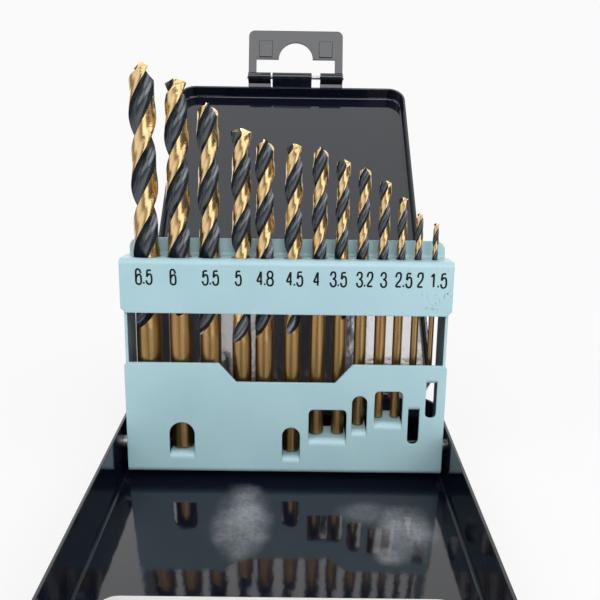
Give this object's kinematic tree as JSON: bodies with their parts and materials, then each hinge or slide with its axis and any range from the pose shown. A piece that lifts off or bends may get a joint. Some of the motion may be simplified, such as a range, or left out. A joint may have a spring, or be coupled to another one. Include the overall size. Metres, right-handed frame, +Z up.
{
  "type": "drill bit index case",
  "caption": "Open hinged sheet-metal case whose leaning folded rack holds a graded row of twist drills upright, with a hinged hang tab on the lid.",
  "frame": {"origin": "middle of the tray's underside, on the table", "axes": "+Z up, +Y from the tray front to the hinge and the leaning lid, +X to the right seen from the front"},
  "size_m": [0.0866, 0.2323, 0.1163],
  "materials": {
    "case_paint": "black gloss enamel on pressed sheet steel",
    "rack_paint": "pale blue-grey satin enamel on folded sheet steel",
    "drill_steel": "black oxide flutes, with tempered gold lands and shank",
    "pin_steel": "plain drawn steel",
    "blank_label": "blank pale label plate"
  },
  "bodies": {
    "tray": {"tray": "case_paint", "tray_label": "blank_label", "hinge_pin": "pin_steel", "rack_rivet_left": "pin_steel", "rack_rivet_right": "pin_steel"},
    "lid": {"lid": "case_paint", "hang_tab_leaf": "case_paint", "hang_tab_pin": "pin_steel"},
    "rack": {"rack_bracket": "rack_paint", "rack_top_channel": "rack_paint"},
    "hang_tab": {"hang_tab": "case_paint"},
    "bit_6_5": {"drill_bit_6_5": "drill_steel"},
    "bit_6_0": {"drill_bit_6_0": "drill_steel"},
    "bit_5_5": {"drill_bit_5_5": "drill_steel"},
    "bit_5_0": {"drill_bit_5_0": "drill_steel"},
    "bit_4_8": {"drill_bit_4_8": "drill_steel"},
    "bit_4_5": {"drill_bit_4_5": "drill_steel"},
    "bit_4_0": {"drill_bit_4_0": "drill_steel"},
    "bit_3_5": {"drill_bit_3_5": "drill_steel"},
    "bit_3_2": {"drill_bit_3_2": "drill_steel"},
    "bit_3_0": {"drill_bit_3_0": "drill_steel"},
    "bit_2_5": {"drill_bit_2_5": "drill_steel"},
    "bit_2_0": {"drill_bit_2_0": "drill_steel"},
    "bit_1_5": {"drill_bit_1_5": "drill_steel"}
  },
  "joints": [
    {"name": "lid_hinge", "type": "hinge", "parent": "tray", "child": "lid", "pos_m": [0, 0.0637, 0.01468], "axis": [1, 0, 0], "range_deg": [0, 140]},
    {"name": "rack_pivot", "type": "hinge", "parent": "tray", "child": "rack", "pos_m": [0, 0.04651, 0.00891], "axis": [1, 0, 0], "range_deg": [0, 97.31]},
    {"name": "hang_tab_hinge", "type": "hinge", "parent": "lid", "child": "hang_tab", "pos_m": [0, 0.1617, 0.09942], "axis": [-1, 0, 0], "range_deg": [-60, 0]},
    {"name": "bit_6_5_lift", "type": "slide", "parent": "rack", "child": "bit_6_5", "axis": [0, -0.1271, -0.9919], "range_m": [-0.0571, 0]},
    {"name": "bit_6_0_lift", "type": "slide", "parent": "rack", "child": "bit_6_0", "axis": [0, -0.1271, -0.9919], "range_m": [-0.0524, 0]},
    {"name": "bit_5_5_lift", "type": "slide", "parent": "rack", "child": "bit_5_5", "axis": [0, -0.1271, -0.9919], "range_m": [-0.0571, 0]},
    {"name": "bit_5_0_lift", "type": "slide", "parent": "rack", "child": "bit_5_0", "axis": [0, -0.1271, -0.9919], "range_m": [-0.0571, 0]},
    {"name": "bit_4_8_lift", "type": "slide", "parent": "rack", "child": "bit_4_8", "axis": [0, -0.1271, -0.9919], "range_m": [-0.0571, 0]},
    {"name": "bit_4_5_lift", "type": "slide", "parent": "rack", "child": "bit_4_5", "axis": [0, -0.1271, -0.9919], "range_m": [-0.0532, 0]},
    {"name": "bit_4_0_lift", "type": "slide", "parent": "rack", "child": "bit_4_0", "axis": [0, -0.1271, -0.9919], "range_m": [-0.0483, 0]},
    {"name": "bit_3_5_lift", "type": "slide", "parent": "rack", "child": "bit_3_5", "axis": [0, -0.1271, -0.9919], "range_m": [-0.0483, 0]},
    {"name": "bit_3_2_lift", "type": "slide", "parent": "rack", "child": "bit_3_2", "axis": [0, -0.1271, -0.9919], "range_m": [-0.0458, 0]},
    {"name": "bit_3_0_lift", "type": "slide", "parent": "rack", "child": "bit_3_0", "axis": [0, -0.1271, -0.9919], "range_m": [-0.0438, 0]},
    {"name": "bit_2_5_lift", "type": "slide", "parent": "rack", "child": "bit_2_5", "axis": [0, -0.1271, -0.9919], "range_m": [-0.0438, 0]},
    {"name": "bit_2_0_lift", "type": "slide", "parent": "rack", "child": "bit_2_0", "axis": [0, -0.1271, -0.9919], "range_m": [-0.0395, 0]},
    {"name": "bit_1_5_lift", "type": "slide", "parent": "rack", "child": "bit_1_5", "axis": [0, -0.1271, -0.9919], "range_m": [-0.0323, 0]}
  ],
  "couplings": [
    {"joint": "rack_pivot", "follows": "lid_hinge", "ratio": 0.695}
  ]
}
